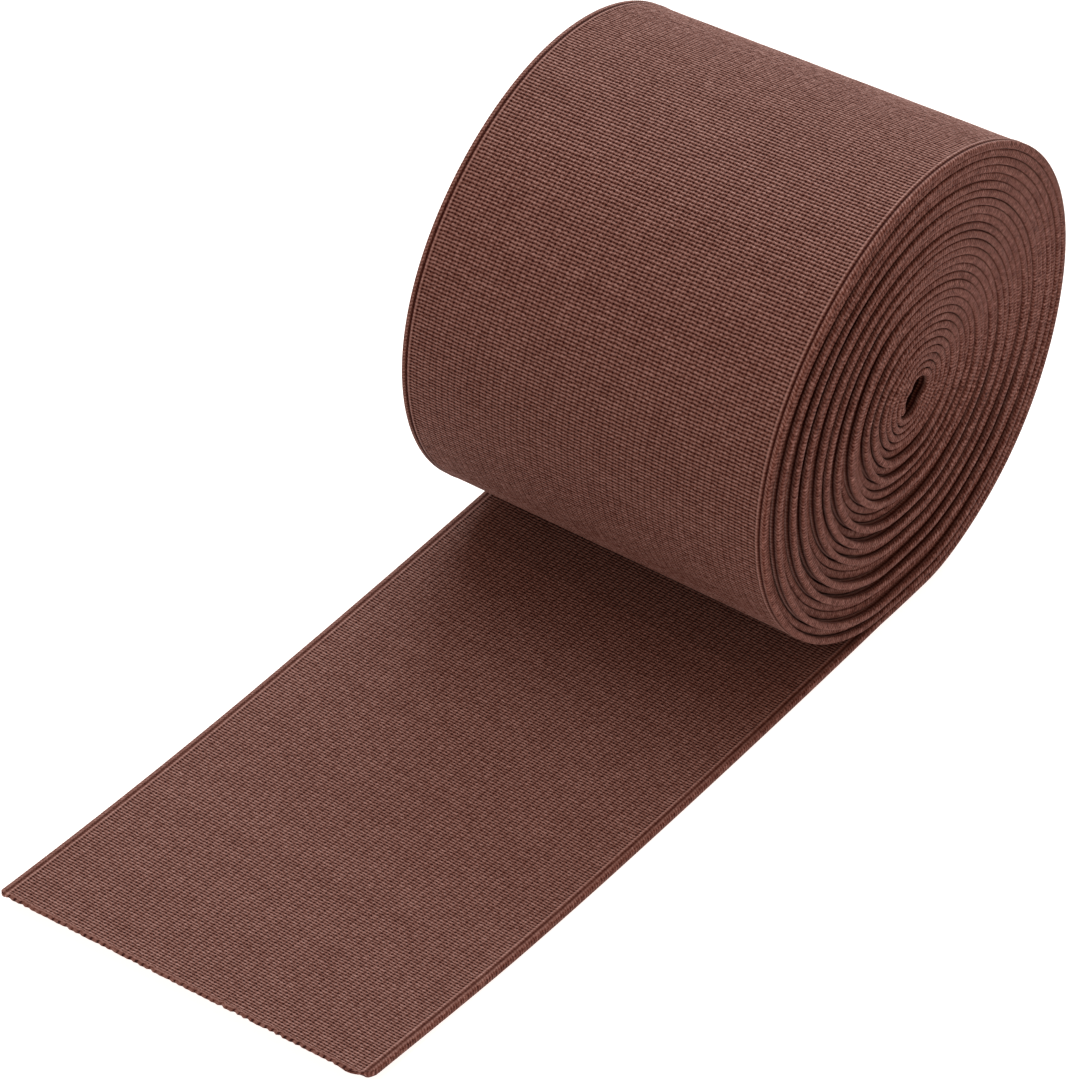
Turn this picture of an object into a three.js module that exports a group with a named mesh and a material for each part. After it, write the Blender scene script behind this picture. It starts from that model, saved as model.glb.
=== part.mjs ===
// A roll of wide woven elastic with its outer end drawn out flat in front of it.
//
// Millimetres, +Z up. X runs along the roll, across the width of the strip. The loose end points to -Y.
// The origin is the middle of the footprint, on the surface that the roll lies on.
//
// The strip, 5 yards long in all, is wound on itself without a core tube: from the loose end it passes
// under the roll, up the back, over the top and down the front, and so on inwards to a small open slit.
// Its turns stand a little apart, and their edges don't line up. The loose end is a sheet of its own,
// cut off where it reaches the roll's flat spot.

import * as THREE from 'three';

// Strip
const WIDTH = 76;                    // a 3 inch elastic
const THICKNESS = 1.15;
const TURN_GAP = 0.3;                // air between one turn and the next
const CUT_CORNER = 2.2;              // radius of the loose end's two corners

// Winding
const TURNS = 28.84;
const CONE = 0.032;                  // share by which the roll is wider at its +X end than at its -X end
const SLIT_RADIUS = 3.75;            // mean radius of the open slit at its widest, a turn before the inner end
const OUT_OF_ROUND = 0.9;            // how far each turn stands out along the slit, and draws in across it
const SLIT_TILT = 38 * Math.PI / 180;        // long way of the slit, up from +Y
const SLIT_OFFSET = { y: -0.8, z: 0.8 };     // middle of the slit from the middle of the outer turn
const FLAT_ANGLE = 10 * Math.PI / 180;       // half the flat spot, seen from the roll's axis
const STEPS_PER_TURN = 36;

// How far each turn stands out at the +X end, from the outermost inwards: high, middle or low.
const TURN_EDGES = 'MLHLLHLHLLHMHLHLLHMLHLHLMMMMM';
const EDGE_SHIFT = { H: 0.6, M: 0, L: -0.6 };
const EDGE_CHANGE = 0.3;             // share of a turn in which the strip moves over to the next

// Loose end
const LOOSE_LENGTH = 154.5;          // cut end to roll axis
const PIECE_GAP = 0.45;              // between the loose end and the roll's outer turn, before the cone
const LOOSE_BOW = 0.9;               // how far the middle of the loose end swings to +X
const CURL_LENGTH = 70;              // the stretch at the cut end that curls up from the surface
const CURL_RISE = 1.5;
const LOOSE_STEPS = 24;

const PITCH = THICKNESS + TURN_GAP;
const OUTER_RADIUS = SLIT_RADIUS + TURNS * PITCH - TURN_GAP;
const FULL_TURN = 2 * Math.PI;
const DOWN = -Math.PI / 2;

const elastic = new THREE.MeshStandardMaterial({ color: 0x6b4238, roughness: 0.9, metalness: 0 });

// How far a turn of this mean radius reaches in a direction, out of round by a constant amount.
function reach(radius, direction) {
  return radius + OUT_OF_ROUND * Math.cos(2 * (direction - SLIT_TILT));
}

// Height of the flat spot under a turn of this mean radius, from the roll's axis.
function flatLevel(radius) {
  return -reach(radius, DOWN + FLAT_ANGLE) * Math.cos(FLAT_ANGLE);
}

// A point of the winding, from the roll's axis, for a mean radius and a direction.
function woundPoint(radius, direction) {
  const inward = 1 - radius / OUTER_RADIUS;
  const r = reach(radius, direction);
  const y = r * Math.cos(direction) + SLIT_OFFSET.y * inward;
  const z = Math.max(r * Math.sin(direction), flatLevel(radius)) + SLIT_OFFSET.z * inward;
  return { y, z };
}

// Mean radius of the strip's outer face after an angle wound inwards from straight under the axis.
function outerFaceRadius(wound) {
  return OUTER_RADIUS - PITCH * Math.max(0, wound - FLAT_ANGLE) / FULL_TURN;
}

// Sideways place of the strip after an angle wound inwards, changing under the roll from turn to turn.
function edgeShift(wound) {
  const turn = wound / FULL_TURN + EDGE_CHANGE / 2;
  const index = Math.max(0, Math.floor(turn));
  const before = EDGE_SHIFT[TURN_EDGES[Math.max(0, index - 1)]];
  const after = EDGE_SHIFT[TURN_EDGES[Math.min(index, TURN_EDGES.length - 1)]];
  return THREE.MathUtils.lerp(before, after, THREE.MathUtils.smoothstep(turn - index, 0, EDGE_CHANGE));
}

// Closed band from two rows of points, its outer and its inner face, drawn out over the strip's width.
// edges gives the strip's two edges at a step, and place the point of a face at an edge.
function bandMesh(name, outer, inner, edges, place) {
  const positions = [];
  outer.forEach((point, i) => {
    const [left, right] = edges(i);
    positions.push(...place(left, point), ...place(right, point));
    positions.push(...place(right, inner[i]), ...place(left, inner[i]));
  });
  const corners = 4;
  const triangles = [];
  const quad = (a, b, c, d) => triangles.push(a, c, b, a, d, c);
  for (let i = 0; i + 1 < outer.length; i += 1) {
    for (let k = 0; k < corners; k += 1) {
      const next = (k + 1) % corners;
      quad(i * corners + k, i * corners + next, (i + 1) * corners + next, (i + 1) * corners + k);
    }
  }
  const last = (outer.length - 1) * corners;
  quad(0, 3, 2, 1);
  quad(last, last + 1, last + 2, last + 3);
  const geometry = new THREE.BufferGeometry();
  geometry.setAttribute('position', new THREE.Float32BufferAttribute(positions, 3));
  geometry.setIndex(triangles);
  geometry.computeVertexNormals();
  const mesh = new THREE.Mesh(geometry, elastic);
  mesh.name = name;
  return mesh;
}

// A point of the winding at a sideways place, spread or drawn in from the line under the axis.
function conePoint(x, point) {
  const floor = flatLevel(OUTER_RADIUS);
  const spread = 1 + CONE * x / WIDTH;
  return [x, point.y * spread, floor + (point.z - floor) * spread];
}

// The wound strip, from the start of the flat spot to the end inside the slit.
function rollMesh() {
  const step = FULL_TURN / STEPS_PER_TURN;
  const count = Math.round((TURNS * FULL_TURN + FLAT_ANGLE) / step);
  const wound = Array.from({ length: count + 1 }, (_, i) => i * step - FLAT_ANGLE);
  const face = (depth) => wound.map((angle) => woundPoint(outerFaceRadius(angle) - depth, DOWN + angle));
  const edges = (i) => [-1, 1].map((side) => side * WIDTH / 2 + edgeShift(wound[i]));
  return bandMesh('roll', face(0), face(THICKNESS), edges, conePoint);
}

// Half width of the loose end at a distance from its cut, with round corners.
function looseHalfWidth(distance) {
  const into = Math.max(0, CUT_CORNER - distance);
  return WIDTH / 2 - CUT_CORNER + Math.sqrt(CUT_CORNER * CUT_CORNER - into * into);
}

// Height of the loose end's underside at a distance from its cut.
function curlHeight(distance) {
  const share = Math.max(0, 1 - distance / CURL_LENGTH);
  return CURL_RISE * share * share;
}

// The flat loose end, from its cut to the flat spot of the roll.
function looseEndMesh(length) {
  const distances = [0, 0.15, 0.45, 0.85, 1].map((share) => share * CUT_CORNER);
  for (let i = 1; i <= LOOSE_STEPS; i += 1) {
    distances.push(CUT_CORNER + (length - CUT_CORNER) * i / LOOSE_STEPS);
  }
  const bottom = distances.map((d) => ({ y: d - LOOSE_LENGTH, z: curlHeight(d) }));
  const top = bottom.map((point) => ({ y: point.y, z: point.z + THICKNESS }));
  const bow = (share) => LOOSE_BOW * 4 * share * (1 - share);
  const edgeAt = (side, distance) => side * looseHalfWidth(distance) + bow(distance / length);
  const edges = (i) => [-1, 1].map((side) => edgeAt(side, distances[i]));
  return bandMesh('loose_end', bottom, top, edges, (x, point) => [x, point.y, point.z]);
}

const roll = rollMesh();
const flatStart = woundPoint(OUTER_RADIUS, DOWN - FLAT_ANGLE).y;
const looseEnd = looseEndMesh(LOOSE_LENGTH + flatStart - PIECE_GAP);

// The roll's axis stands over its flat spot, and the footprint is centred on the origin.
roll.position.z = -flatLevel(OUTER_RADIUS);
const footprint = new THREE.Box3().setFromObject(roll).union(new THREE.Box3().setFromObject(looseEnd));
const footprintMiddle = footprint.getCenter(new THREE.Vector3());

const rollOfElastic = new THREE.Group();
rollOfElastic.add(roll, looseEnd);
rollOfElastic.position.x = -footprintMiddle.x;
rollOfElastic.position.y = -footprintMiddle.y;

export default rollOfElastic;
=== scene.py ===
"""A roll of wide woven elastic with its outer end drawn out flat in front of it.

The strip is one length, 76 mm wide. It is made here in three pieces that meet end to end: the loose end,
the outer turn and the inner turns. Shapes are worked out in millimetres and written to the meshes in metres.

Every piece carries two UV maps in millimetres, which the material's weave follows. Strip gives the place on
the strip: across it from its middle, and along it from the cut end. Edge gives, in place of the first, the
distance from the nearer edge up to EDGE_REACH, above 0 on the outer face and below 0 on the inner face.
"""
import math

import bpy
import numpy as np
from mathutils import Matrix, Vector


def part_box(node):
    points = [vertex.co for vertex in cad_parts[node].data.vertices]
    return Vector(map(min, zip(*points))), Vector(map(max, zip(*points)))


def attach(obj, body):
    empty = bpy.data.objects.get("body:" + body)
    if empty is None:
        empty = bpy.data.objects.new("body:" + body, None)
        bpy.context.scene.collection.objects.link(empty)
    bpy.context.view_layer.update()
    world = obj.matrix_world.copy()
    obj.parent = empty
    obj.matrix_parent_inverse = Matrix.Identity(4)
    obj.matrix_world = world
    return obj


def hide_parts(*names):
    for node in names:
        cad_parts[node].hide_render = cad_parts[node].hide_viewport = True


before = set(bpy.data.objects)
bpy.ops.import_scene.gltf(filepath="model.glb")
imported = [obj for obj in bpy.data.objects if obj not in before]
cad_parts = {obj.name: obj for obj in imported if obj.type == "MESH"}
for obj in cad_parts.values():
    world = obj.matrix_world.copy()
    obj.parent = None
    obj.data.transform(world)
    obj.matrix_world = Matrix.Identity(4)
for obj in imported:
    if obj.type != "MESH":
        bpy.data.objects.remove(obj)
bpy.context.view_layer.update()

MM = 0.001
FULL_TURN = 2 * math.pi
DOWN = -math.pi / 2

# Strip, in mm
WIDTH = 76.0
THICKNESS = 1.35                  # more than in the part's source, whose solids keep further apart

# Winding, the same in the part's source
PITCH = 1.45
TURNS = 28.84
OUTER_RADIUS = 45.268
CONE = 0.032                      # share by which the roll is wider at its +X end than at its -X end
OUT_OF_ROUND = 0.9
SLIT_TILT = math.radians(38)
SLIT_OFFSET_Y, SLIT_OFFSET_Z = -0.8, 0.8
FLAT_ANGLE = math.radians(10)
TURN_EDGES = "MLHLLHLHLLHMHLHLLHMLHLHLMMMMM"
EDGE_SHIFT = {"H": 0.6, "M": 0.0, "L": -0.6}

# Winding, finer than in the part's source. Angles wound count inwards from straight under the roll's axis.
FLAT_EASE = 0.8                   # how softly the turns bend into the flat spot
FLAT_EASE_AT = 0.1                # angle wound by which it is full, from none where the loose end meets the roll
FLAT_FADE = 0.9 / 35              # how much less flat a turn is than the next one out, for each mm of radius
FLUSH_AT = math.radians(45)       # direction in which the turns' edges line up best and lie closest together
SHIFT_SIZE, SHIFT_SWING = 0.72, 0.55            # size of the edge shifts, and how it changes with direction
SHIFT_CALM = 17, 23               # turns between which the edge shifts drop to half
EDGE_CHANGE = 0.5                 # share of a turn in which the strip moves over to the next shift
EDGE_CHANGE_AT = 0.375            # middle of that share, in turns from straight under the axis
WAVER = ((0.16, 3, 9, 0), (0.10, 5, -6, 1))     # height, waves a turn, mm of radius for a radian, phase
WAVER_STARTS = 0.15, 0.5          # from none to full, by the sine of half the angle from straight down
WANDER = ((1.0, 0.83, 0), (0.7, 1.91, 2), (0.6, 3.37, 5))     # share, waves in an angle wound of 2 pi, phase
WANDER_SIZE = 0.09
WANDER_FULL_AT = 1.5              # angle wound
FULL_SIZE, FULL_SWING = 1.02, 0.04              # share of THICKNESS, and how it changes with direction
LOOSE_SPAN = 1.37                 # turns from one looseness to the next

# Loose end, the same in the part's source
LOOSE_LENGTH = 154.5
CURL_LENGTH = 70.0
CURL_RISE = 1.5
LOOSE_BOW = 0.9                   # how far the middle of the loose end swings to +X

# Loose end's cut. Pairs of distances from it, in _STARTS and _ENDS, say where something sets in or fades away.
CUT_CORNERS = 1.3, 4.2            # radius of the left and right corners
CUT_NARROWS = 0.010               # share by which the right half is narrower at the cut
NARROW_ENDS = 2, 45
SEAL = 0.9                        # length of the melted, rounded rim
SEAL_THICKNESS = 0.4              # share of the strip's thickness at the very cut
WEAVE_STARTS = 0.9, 1.8
NOTCH_DEPTH = 0.6
NOTCH_ENDS = 0.4, 1.8
UNDERCUT = 0.9                    # how far the underside of the rim lies behind its top

# Weave
ROW = 0.628                       # crosswise ribs on the slack strip
ROLLED_ROW = 0.675                # the same ribs where the strip is stretched round the roll
COLUMN = WIDTH / 57               # one repeat across, two ribs side by side
STITCH = COLUMN / 2
RIB_DEPTH = 0.10
STAGGER_DEPTH = 0.05              # how far every other stitch of a row sits lower

# Selvedge, by distance from the edge
EDGE_ROUND = 0.38
EDGE_SQUARE = 3.0                 # 2 is a round edge, more is a squarer one
BEAD_END = 0.85
BEAD_RIB = 0.35                   # depth of the ribs on the bead, as a share of RIB_DEPTH
GROOVE_AT, GROOVE_WIDTH, GROOVE_DEPTH = 1.06, 0.22, 0.22
INNER_GROOVE = 0.4                # depth of the groove on the inner face, as a share of the outer one
RIDGE_AT, RIDGE_WIDTH, RIDGE_RISE = 1.58, 0.20, 0.09
BODY_SINK = 0.06
BODY_START = 2.0
EDGE_REACH = 2.0

# Steps of the meshes
SEEN_LENGTH = 122                 # of the loose end, in front of the roll
OUTER_STEPS = int(284 / ROLLED_ROW * 4)         # four to a row
INNER_STEPS = 2600

rng = np.random.default_rng(11)
LOOSENESS = 0.17 * rng.uniform(0, 1, 60) ** 2   # how much thinner the strip lies in some turns, as a share


def smooth(value, low, high):
    share = np.clip((value - low) / (high - low), 0, 1)
    return share * share * (3 - 2 * share)


def bell(value, middle, width):
    return np.exp(-((value - middle) / width) ** 2)


# ---------------------------------------------------------------- winding

def reach(radius, direction):
    """How far a turn of this mean radius reaches in a direction."""
    return radius + OUT_OF_ROUND * np.cos(2 * (direction - SLIT_TILT))


def flat_level(radius):
    """Height of a turn's flat spot, from the roll's axis."""
    return -reach(radius, DOWN + FLAT_ANGLE) * math.cos(FLAT_ANGLE) - FLAT_FADE * (OUTER_RADIUS - radius)


def waver(radius, direction):
    """Small dents and bulges that neighbouring turns share, none at the flat spot."""
    bulge = sum(height * np.sin(waves * direction + radius / run + phase)
                for height, waves, run, phase in WAVER)
    return bulge * smooth(np.abs(np.sin((direction - DOWN) / 2)), *WAVER_STARTS)


def wound_point(radius, direction, ease=0.0):
    """Point (y, z) of the winding, from the roll's axis."""
    inward = 1 - radius / OUTER_RADIUS
    r = reach(radius, direction) + waver(radius, direction)
    y = r * np.cos(direction) + SLIT_OFFSET_Y * inward
    above = r * np.sin(direction) - flat_level(radius)
    z = flat_level(radius) + (above + np.sqrt(above ** 2 + ease ** 2)) / 2 + SLIT_OFFSET_Z * inward
    return y, z


def outer_face_radius(wound):
    return OUTER_RADIUS - PITCH * np.maximum(0, wound - FLAT_ANGLE) / FULL_TURN


def edge_shift(wound):
    """Sideways place of the strip after an angle wound inwards."""
    turn = wound / FULL_TURN + EDGE_CHANGE / 2 - EDGE_CHANGE_AT
    index = np.maximum(0, np.floor(turn)).astype(int)
    shifts = np.array([EDGE_SHIFT[mark] for mark in TURN_EDGES])
    last = len(shifts) - 1
    before = shifts[np.clip(index - 1, 0, last)]
    after = shifts[np.clip(index, 0, last)]
    shift = before + (after - before) * smooth(turn - index, 0, EDGE_CHANGE)
    size = SHIFT_SIZE - SHIFT_SWING * np.cos(DOWN + wound - FLUSH_AT)
    return shift * size * (1 - 0.5 * smooth(turn, *SHIFT_CALM))


def edge_wander(wound):
    """Slow sideways wander of the strip, none where the loose end begins."""
    wave = sum(share * np.sin(waves * wound + phase) for share, waves, phase in WANDER)
    return WANDER_SIZE * wave * smooth(wound, 0, WANDER_FULL_AT)


def fullness(wound):
    """Share of THICKNESS that the strip has: more where the turns lie close, less in the looser turns."""
    close = FULL_SIZE + FULL_SWING * np.cos(DOWN + wound - FLUSH_AT)
    loose = np.interp(wound / FULL_TURN / LOOSE_SPAN, np.arange(len(LOOSENESS)), LOOSENESS)
    return close - loose * smooth(wound, FULL_TURN, FULL_TURN + 1)


# ---------------------------------------------------------------- section of the strip

def half_thickness(inset, side):
    """Half the strip's thickness at a distance from its edge, as a share of the full half."""
    bead = (1 - (1 - np.minimum(inset, EDGE_ROUND) / EDGE_ROUND) ** EDGE_SQUARE) ** (1 / EDGE_SQUARE)
    body = BODY_SINK * smooth(inset, BEAD_END, GROOVE_AT + GROOVE_WIDTH)
    groove_depth = np.where(side > 0, GROOVE_DEPTH, INNER_GROOVE * GROOVE_DEPTH)
    groove = groove_depth * bell(inset, GROOVE_AT, GROOVE_WIDTH)
    ridge = RIDGE_RISE * bell(inset, RIDGE_AT, RIDGE_WIDTH)
    return bead - (body + groove - ridge) / (THICKNESS / 2)


def across_face(insets, body=()):
    """Places across one face, from the left edge to the right one."""
    left = [-WIDTH / 2 + inset for inset in insets]
    right = [WIDTH / 2 - inset for inset in reversed(insets)]
    return left + list(body) + right


# Places of the mesh's edges: distances from the strip's edge, and places across its body
FINE_INSETS = (0.01, 0.05, 0.13, 0.26, 0.42, 0.78, 0.92, 1.06, 1.2, 1.4, 1.6, 1.8, 2.05, 2.3)
PLAIN_INSETS = (0.01, 0.06, 0.18, 0.42, 0.85, 1.2, 1.7)
SIDE_INSETS = (0.01, 0.05, 0.13, 0.26, 0.42, 0.78, 1.06, 1.4, 2.0)
EACH_STITCH = (np.arange(-53, 53) + 0.5) * STITCH
FEW = np.linspace(-32, 32, 11)


class Section:
    """The strip's closed section: across its outer face, then back across its inner face."""

    def __init__(self, outer, inner):
        edge = WIDTH / 2
        self.across = np.array([-edge] + list(outer) + [edge] + list(inner)[::-1])
        self.side = np.array([0.0] + [1.0] * len(outer) + [0.0] + [-1.0] * len(inner))
        inset = edge - np.abs(self.across)
        self.height = self.side * half_thickness(inset, self.side)
        self.woven = smooth(inset, BODY_START - 0.4, BODY_START + 0.2)
        self.beaded = 1 - smooth(inset, BEAD_END - 0.1, BEAD_END + 0.1)
        self.from_edge = self.side * np.minimum(inset, EDGE_REACH)

    def depth(self, along, relief=1.0):
        """Height of each point over the middle of the strip, in mm, for places along the strip."""
        row = along[:, None] / ROW
        rib = 0.5 - 0.5 * np.cos(FULL_TURN * row)
        stagger = 0.5 - 0.5 * np.cos(math.pi * row) * np.cos(math.pi * (self.across / STITCH - 0.5))
        cut_in = (self.woven * (RIB_DEPTH * rib + STAGGER_DEPTH * stagger)
                  + BEAD_RIB * RIB_DEPTH * self.beaded * rib)
        return self.height * THICKNESS / 2 - self.side * cut_in * relief


def strip_piece(name, points, section, along):
    """A closed mesh from rings of points (steps x ring x 3, in mm) with the strip's own coordinates."""
    steps, ring = points.shape[:2]
    index = np.arange(steps * ring).reshape(steps, ring)
    turned = np.roll(index, -1, axis=1)
    quads = np.stack([index[:-1], index[1:], turned[1:], turned[:-1]], -1).reshape(-1, 4)
    faces = quads.tolist() + [index[0].tolist(), index[-1][::-1].tolist()]
    mesh = bpy.data.meshes.new(name)
    mesh.from_pydata((points.reshape(-1, 3) * MM).tolist(), [], faces)
    mesh.polygons.foreach_set("use_smooth", [True] * len(quads) + [False, False])
    corner = np.empty(len(mesh.loops), dtype=np.int32)
    mesh.loops.foreach_get("vertex_index", corner)
    for uv_map, first in (("Strip", section.across), ("Edge", section.from_edge)):
        place = np.empty((steps, ring, 2))
        place[..., 0] = first
        place[..., 1] = along[:, None]
        mesh.uv_layers.new(name=uv_map).data.foreach_set("uv", place.reshape(-1, 2)[corner].ravel())
    mesh.update()
    piece = bpy.data.objects.new(name, mesh)
    bpy.context.collection.objects.link(piece)
    return piece


# ---------------------------------------------------------------- the three pieces

loose_low, loose_high = (np.array(corner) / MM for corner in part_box("loose_end"))
MIDDLE_X = loose_low[0] + WIDTH / 2         # middle of the strip
AXIS_Y = loose_low[1] + LOOSE_LENGTH
MEETING = -FLAT_ANGLE                       # angle wound where the loose end meets the outer turn
MEETING_Y = float(wound_point(OUTER_RADIUS, DOWN + MEETING)[0])
LOOSE_RUN = LOOSE_LENGTH + MEETING_Y


def spread(x):
    """How much wider the roll is at a sideways place than in its middle."""
    return 1 + CONE * x / WIDTH


def wound_piece(name, start, end, section, steps, along_at_start, relief=1.0):
    """The strip between two angles wound, its length on the roll, and the place along the strip at its end."""
    wound = np.linspace(start, end, steps)
    outer = outer_face_radius(wound)
    ease = FLAT_EASE * smooth(wound, MEETING, FLAT_EASE_AT)
    y, z = wound_point(outer, DOWN + wound, ease)
    run = np.concatenate([[0], np.cumsum(np.hypot(np.diff(y), np.diff(z)))])
    along = along_at_start + run * ROW / ROLLED_ROW
    depth = section.depth(along, relief) * fullness(wound)[:, None]
    radius = outer[:, None] - THICKNESS / 2 + depth
    direction = np.broadcast_to(DOWN + wound[:, None], radius.shape)
    y, z = wound_point(radius, direction, ease[:, None])
    x = section.across + (edge_shift(wound) + edge_wander(wound))[:, None]
    y, z = y * spread(x), (z - flat_level(OUTER_RADIUS)) * spread(x)
    points = np.stack([x + MIDDLE_X, y + AXIS_Y, z], -1)
    return strip_piece(name, points, section, along), float(run[-1]), float(along[-1])


def loose_half_width(distance, corner):
    into = np.maximum(0, corner - distance)
    return WIDTH / 2 - corner + np.sqrt(corner ** 2 - into ** 2)


def curl_height(distance):
    return CURL_RISE * np.maximum(0, 1 - distance / CURL_LENGTH) ** 2


def cut_notches(across):
    """How far the cut is drawn in at each place across: uneven, and deepest at every other stitch."""
    stitch = np.floor(across / STITCH).astype(int)
    uneven = 0.3 + 0.7 * rng.uniform(0, 1, 120)[stitch + 58] ** 2
    depth = uneven * np.where(stitch % 2 == 0, 1.0, 0.3)
    return NOTCH_DEPTH * depth * (0.6 + 0.4 * smooth(across, -10, 25))


def loose_piece(name, section):
    """The flat loose end, its cut melted to a thin rounded rim."""
    near_cut = [0, 0.04, 0.14, 0.3, 0.55, 0.9, 1.25]
    seen = np.arange(1.5, SEEN_LENGTH, ROW / 3)
    hidden = np.arange(SEEN_LENGTH, LOOSE_RUN - 0.3, ROW / 2)
    distance = np.concatenate([near_cut, seen, hidden, [LOOSE_RUN]])
    rim = np.sqrt(1 - (1 - np.minimum(distance, SEAL) / SEAL) ** 2)
    relief = smooth(distance, *WEAVE_STARTS)
    thickness = SEAL_THICKNESS + (1 - SEAL_THICKNESS) * rim
    depth = section.depth(distance, relief[:, None]) * thickness[:, None]
    drawn_in = np.where(section.side > 0, UNDERCUT, cut_notches(section.across))
    notch = drawn_in * (1 - smooth(distance, *NOTCH_ENDS))[:, None]
    share = (distance / LOOSE_RUN)[:, None]
    left, right = (loose_half_width(distance, corner)[:, None] for corner in CUT_CORNERS)
    x = np.clip(section.across, -left, right)
    x = np.where(x > 0, x * (1 - CUT_NARROWS * (1 - smooth(distance, *NARROW_ENDS)))[:, None], x)
    y = AXIS_Y - LOOSE_LENGTH + distance[:, None] + notch + share * MEETING_Y * (spread(x) - 1)
    z = curl_height(distance)[:, None] + THICKNESS / 2 - depth
    x = x + MIDDLE_X + LOOSE_BOW * 4 * share * (1 - share)
    return strip_piece(name, np.stack([x, y, z], -1), section, distance)


loose_end = loose_piece("loose_end_cloth", Section(
    across_face(PLAIN_INSETS), across_face(FINE_INSETS, EACH_STITCH)))
outer_turn, outer_run, along = wound_piece(
    "outer_turn_cloth", MEETING, FULL_TURN,
    Section(across_face(FINE_INSETS, FEW), across_face(PLAIN_INSETS)), OUTER_STEPS, LOOSE_RUN)
inner_turns, inner_run, strip_length = wound_piece(
    "inner_turns_cloth", FULL_TURN, TURNS * FULL_TURN,
    Section(across_face(SIDE_INSETS), across_face(SIDE_INSETS)), INNER_STEPS, along, relief=0.0)


# ---------------------------------------------------------------- materials

# Colours of the cloth, from the darkest gap to the lightest thread
SHADES = (
    (0.0, (0.0232, 0.0015, 0.0003)),
    (0.25, (0.0612, 0.0153, 0.0088)),
    (0.5, (0.1221, 0.0482, 0.0350)),
    (0.75, (0.2086, 0.1066, 0.0885)),
    (1.0, (0.3231, 0.1906, 0.1670)),
)
END_BOUNCE_TINT = (1.10, 1.0, 0.97)      # painted red of light bounced between the turns, on the strip's very edge, which the end face shows
BUMP = 0.14                       # mm


class Graph:
    """Short forms for building a material's nodes."""

    def __init__(self, name):
        self.material = bpy.data.materials.new(name)
        self.material.use_nodes = True
        self.tree = self.material.node_tree
        self.shader = self.tree.nodes["Principled BSDF"]

    def node(self, kind, **settings):
        made = self.tree.nodes.new(kind)
        for key, value in settings.items():
            setattr(made, key, value)
        return made

    def feed(self, socket, value):
        if isinstance(value, bpy.types.NodeSocket):
            self.tree.links.new(value, socket)
        else:
            socket.default_value = value

    def surface(self, **inputs):
        """Set inputs of the shader, with _ for the spaces in their names."""
        for key, value in inputs.items():
            self.feed(self.shader.inputs[key.replace("_", " ")], value)

    def math(self, operation, *values):
        made = self.node("ShaderNodeMath", operation=operation)
        for socket, value in zip(made.inputs, values):
            self.feed(socket, value)
        return made.outputs[0]

    def add(self, *values):
        total = values[0]
        for value in values[1:]:
            total = self.math("ADD", total, value)
        return total

    def times(self, *values):
        total = values[0]
        for value in values[1:]:
            total = self.math("MULTIPLY", total, value)
        return total

    def weighted(self, *terms):
        """A sum of terms, each a weight and the values that it multiplies."""
        return self.add(*(self.times(*values, weight) for weight, *values in terms))

    def centred(self, value):
        return self.math("SUBTRACT", value, 0.5)

    def wave(self, value):
        """cos(pi * value)"""
        return self.math("COSINE", self.times(value, math.pi))

    def crest(self, value):
        """A wave from 0 to 1, with its crests at the even numbers."""
        return self.math("MULTIPLY_ADD", self.wave(value), 0.5, 0.5)

    def ramp(self, value, low, high, to_low=0.0, to_high=1.0):
        made = self.node("ShaderNodeMapRange", interpolation_type="SMOOTHSTEP")
        for key, number in (("Value", value), ("From Min", low), ("From Max", high),
                            ("To Min", to_low), ("To Max", to_high)):
            self.feed(made.inputs[key], number)
        return made.outputs["Result"]

    def bell(self, value, middle, width):
        off = self.math("DIVIDE", self.math("SUBTRACT", value, middle), width)
        return self.math("EXPONENT", self.times(off, off, -1.0))

    def vector(self, x, y):
        made = self.node("ShaderNodeCombineXYZ")
        self.feed(made.inputs[0], x)
        self.feed(made.inputs[1], y)
        return made.outputs[0]

    def place(self, uv_map):
        """The two coordinates that a UV map gives."""
        made = self.node("ShaderNodeSeparateXYZ")
        self.feed(made.inputs[0], self.node("ShaderNodeUVMap", uv_map=uv_map).outputs[0])
        return made.outputs[0], made.outputs[1]

    def noise(self, vector, scale, detail, rough=0.5):
        made = self.node("ShaderNodeTexNoise")
        self.feed(made.inputs["Vector"], vector)
        for key, number in (("Scale", scale), ("Detail", detail), ("Roughness", rough)):
            self.feed(made.inputs[key], number)
        return made.outputs["Fac"]

    def object_noise(self, scale, detail, rough=0.5):
        return self.noise(self.node("ShaderNodeTexCoord").outputs["Object"], scale, detail, rough)

    def cell(self, x, y):
        """A random number from 0 to 1 for each whole-number cell."""
        made = self.node("ShaderNodeTexWhiteNoise", noise_dimensions="2D")
        self.feed(made.inputs["Vector"], self.vector(self.math("FLOOR", x), self.math("FLOOR", y)))
        return made.outputs["Value"]

    def mix(self, share, first, second, blend="MIX"):
        made = self.node("ShaderNodeMix", data_type="RGBA", blend_type=blend)
        self.feed(made.inputs["Factor"], share)
        self.feed(made.inputs[6], first)
        self.feed(made.inputs[7], second)
        return made.outputs[2]

    def shades(self, value, stops):
        """A colour ramp, its first stop at 0 and its last at 1."""
        made = self.node("ShaderNodeValToRGB")
        self.feed(made.inputs[0], value)
        elements = made.color_ramp.elements
        for at, colour in stops:
            stop = elements.new(at) if 0 < at < 1 else elements[0 if at == 0 else -1]
            stop.color = (*colour, 1)
        return made.outputs[0]


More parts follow.
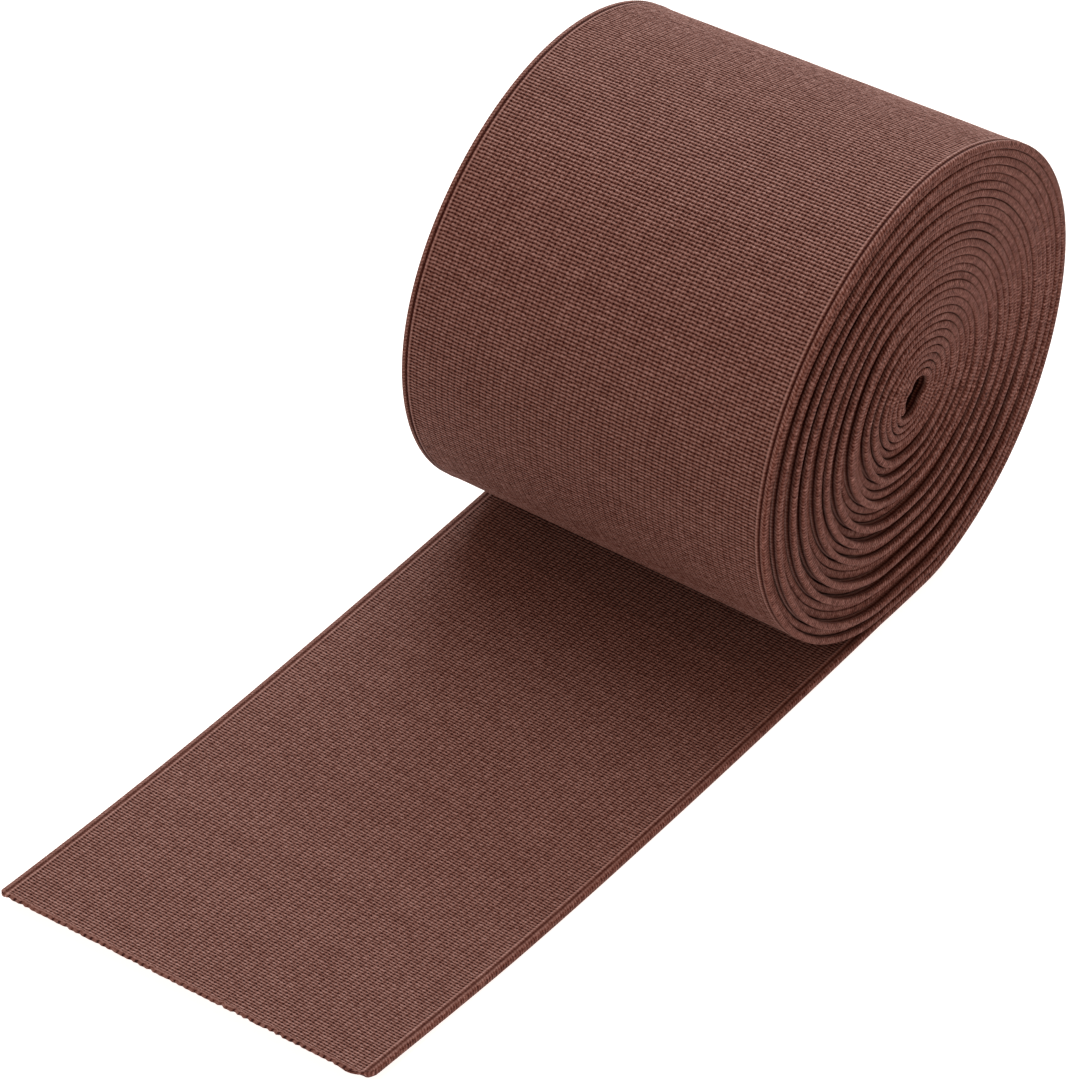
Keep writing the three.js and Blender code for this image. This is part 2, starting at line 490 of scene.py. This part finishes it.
def elastic_material():
    """Woven elastic: crosswise ribs of staggered stitches between two beaded selvedges."""
    g = Graph("woven elastic")
    across, along = g.place("Strip")
    from_edge, _ = g.place("Edge")
    strip = g.vector(across, along)

    # Zones of the strip, each 0 to 1
    inset = g.math("SUBTRACT", WIDTH / 2, g.math("ABSOLUTE", across))
    inner = g.ramp(from_edge, -0.1, 0.1, 1.0, 0.0)
    outer = g.math("SUBTRACT", 1.0, inner)
    body = g.ramp(inset, BODY_START - 0.4, BODY_START)
    bead = g.ramp(inset, BEAD_END - 0.1, BEAD_END + 0.1, 1.0, 0.0)
    bead_top = g.bell(inset, 0.6, 0.25)
    end = g.ramp(inset, 0.2, 0.5, 1.0, 0.0)
    groove = g.bell(inset, GROOVE_AT, GROOVE_WIDTH)
    ridge = g.bell(inset, RIDGE_AT, RIDGE_WIDTH)
    sealed = g.ramp(along, 0.7, 1.3, 1.0, 0.0)
    rim = g.ramp(along, 0.35, 0.65, 1.0, 0.0)
    weave = g.times(body, g.math("SUBTRACT", 1.0, sealed))
    # painted shade: the inner face darkened deep in the slit at the roll's middle, where little light reaches
    painted_slit_shade = g.times(inner, g.ramp(along, strip_length - 35, strip_length - 20), g.ramp(inset, 0.3, 2.5))

    # Rows and stitches, counted along and across the strip and made a little uneven
    bend = g.times(g.centred(g.noise(strip, 0.9, 1.0)), 0.34)
    row = g.math("DIVIDE", g.add(along, bend), ROW)
    drift_across = g.times(g.centred(g.noise(g.vector(along, across), 0.9, 1.0)), 0.30)
    stitch = g.math("DIVIDE", g.add(across, drift_across), STITCH)
    rib = g.crest(g.times(g.add(row, g.times(from_edge, bead)), 2.0))      # slanted on the bead
    checker = g.times(g.wave(row), g.wave(g.math("SUBTRACT", stitch, 0.5)))
    pit_wave = g.times(g.math("SINE", g.times(row, math.pi)), g.wave(stitch))
    pit = g.ramp(pit_wave, 0.5, 1.0)
    faint_pit = g.ramp(g.times(pit_wave, -1.0), 0.5, 1.0)
    column_gap = g.crest(stitch)
    stitch_gap = g.ramp(g.wave(g.times(stitch, 2.0)), 0.0, 1.0)
    notch = g.times(rim, g.math("POWER", column_gap, 4.0))

    # Unevenness of the yarn
    stitch_tone = g.cell(stitch, g.add(row, 0.5))
    row_tone = g.cell(3.0, g.add(row, 0.5))
    notch_tone = g.cell(g.times(stitch, 0.5), 7.0)
    patches = g.noise(strip, 0.16, 2.0)
    fibre = g.noise(g.vector(g.times(across, 0.45), along), 7.0, 3.0, 0.6)
    lint = g.object_noise(1.5 / MM, 3.0, 0.75)
    lint_tone = g.centred(lint)

    tone = g.weighted(
        (0.40,),
        (0.18, rib),
        (0.34, rib, weave),
        (-0.04, rib, weave, inner),
        (0.20, rib, bead_top, outer),
        (0.16, rib, end),
        (0.05, checker, weave),
        (-0.12, column_gap, weave),
        (-0.03, column_gap, weave, inner),
        (-0.08, stitch_gap, weave),
        (-0.50, pit, weave),
        (-0.34, pit, weave, inner),
        (-0.22, faint_pit, weave),
        (-0.10, faint_pit, weave, inner),
        (0.06, inner, weave),
        # painted shade: the very edge, which makes up the end face of the roll, a little darker
        (-0.10, end),
        # painted highlight along the crest of the bead
        (0.10, bead_top),
        (0.08, bead_top, inner),
        # painted highlight on the ridge beside the groove, dashed by the ribs
        (0.32, ridge),
        (0.10, ridge, rib),
        # painted shade in the groove beside the bead
        (-0.26, groove),
        (-0.22, groove, outer),
        (0.14, sealed),
        (-0.2, notch),
        (-0.9, notch, notch_tone),
        # painted shade in the slit
        (-0.7, painted_slit_shade),
        (0.14, g.centred(stitch_tone), weave),
        (0.05, g.centred(row_tone), weave),
        (0.10, g.centred(patches)),
        (0.50, g.centred(fibre)),
        (0.8, lint_tone),
        (-0.45, lint_tone, weave),
        (0.9, lint_tone, end),
    )
    height = g.weighted(
        (0.45, rib),
        (0.42, rib, weave),
        (0.20, checker, weave),
        (-0.35, column_gap, weave),
        (-0.22, stitch_gap, weave),
        (-0.75, pit, weave),
        (-0.35, faint_pit, weave),
        (0.5, fibre),
        (0.9, lint),
        (-0.9, lint, weave),
        (-0.6, groove),
    )
    bump = g.node("ShaderNodeBump")
    for key, value in (("Strength", 1.0), ("Distance", BUMP * MM), ("Height", height)):
        g.feed(bump.inputs[key], value)
    # painted bounce light: the very edge, seen on the end face, tinted redder as in the creases between turns
    tint = g.mix(end, (1.0, 1.0, 1.0, 1), (*END_BOUNCE_TINT, 1))
    g.surface(Base_Color=g.mix(1.0, g.shades(tone, SHADES), tint, blend="MULTIPLY"),
              Roughness=0.7, Specular_IOR_Level=0.1,
              Sheen_Weight=0.05, Sheen_Roughness=0.35, Sheen_Tint=(1.0, 0.8, 0.74, 1), Normal=bump.outputs[0])
    return g.material


elastic = elastic_material()
for piece, node, length, held, rests_on in (
    (loose_end, "loose_end", LOOSE_RUN, "laid", []),
    (outer_turn, "roll", outer_run, "folded", ["inner_turns_cloth"]),
    (inner_turns, "roll", inner_run, "folded", ["outer_turn_cloth"]),
):
    piece.data.materials.append(elastic)
    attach(piece, "root")
    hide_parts(node)


# ---------------------------------------------------------------- floor, light and camera, in metres

FLOOR_HALF = 3.0
WARM = (1.0, 0.79, 0.71)
COOL = (0.84, 1.0, 1.06)
AMBIENT, AMBIENT_STRENGTH = (1.0, 0.67, 0.54), 0.40
ROLL_MIDDLE = (0, 0.05, 0.05)
CAMERA_PLACE = (0.59811, -0.83861, 0.86270)
CAMERA_AIM = (-0.45289, 0.63245, -0.62840)
CAMERA_ROLL = math.radians(0.731)
CAMERA_LENS, CAMERA_SENSOR = 263.05, 36      # mm, the sensor's height


def add_object(name, data):
    made = bpy.data.objects.new(name, data)
    bpy.context.collection.objects.link(made)
    return made


def facing(place, aim):
    """Matrix of a light or camera at a place, looking along a direction."""
    return Matrix.Translation(place) @ Vector(aim).to_track_quat("-Z", "Y").to_matrix().to_4x4()


def floor():
    """A wide pale floor just under the object, bright enough to be white in the picture."""
    mesh = bpy.data.meshes.new("floor")
    corners = [(x * FLOOR_HALF, y * FLOOR_HALF, 0) for x, y in ((-1, -1), (1, -1), (1, 1), (-1, 1))]
    mesh.from_pydata(corners, [], [(0, 1, 2, 3)])
    made = add_object("floor", mesh)
    g = Graph("pale floor")
    g.surface(Base_Color=g.mix(g.object_noise(40.0, 3.0), (0.34, 0.34, 0.34, 1), (0.36, 0.36, 0.36, 1)),
              Emission_Color=(1.0, 0.92, 0.89, 1), Emission_Strength=1.02, Roughness=0.9,
              Specular_IOR_Level=0.1)
    made.data.materials.append(g.material)


def softbox(name, place, target, size, watts, colour=(1.0, 1.0, 1.0)):
    """A rectangular area light that faces a point."""
    light = bpy.data.lights.new(name, "AREA")
    light.shape = "RECTANGLE"
    light.size, light.size_y = size
    light.energy = watts
    light.color = colour
    add_object(name, light).matrix_world = facing(place, Vector(target) - Vector(place))


floor()
softbox("key", (-0.35, 0.4, 1.35), (0, 0, 0.03), (1.2, 1.2), 16.8)
softbox("fill", (-0.5, -1.1, 0.9), (0, 0, 0.03), (1.2, 0.6), 5.5, WARM)
softbox("back", (-0.5, 1.2, 1.0), (0, 0.05, 0.06), (1.2, 0.6), 20, COOL)
softbox("side", (1.5, -0.2, 0.3), ROLL_MIDDLE, (0.9, 0.9), 2.8, WARM)

world = bpy.data.worlds.new("studio")
world.use_nodes = True
background = world.node_tree.nodes["Background"]
background.inputs["Color"].default_value = (*AMBIENT, 1)
background.inputs["Strength"].default_value = AMBIENT_STRENGTH
bpy.context.scene.world = world
bpy.context.scene.view_settings.view_transform = "Standard"

camera_data = bpy.data.cameras.new("camera")
camera_data.sensor_fit = "VERTICAL"
camera_data.sensor_height = CAMERA_SENSOR
camera_data.lens = CAMERA_LENS
camera_data.clip_start = 0.05
camera = add_object("camera", camera_data)
camera.matrix_world = facing(CAMERA_PLACE, CAMERA_AIM) @ Matrix.Rotation(CAMERA_ROLL, 4, "Z")
bpy.context.scene.camera = camera
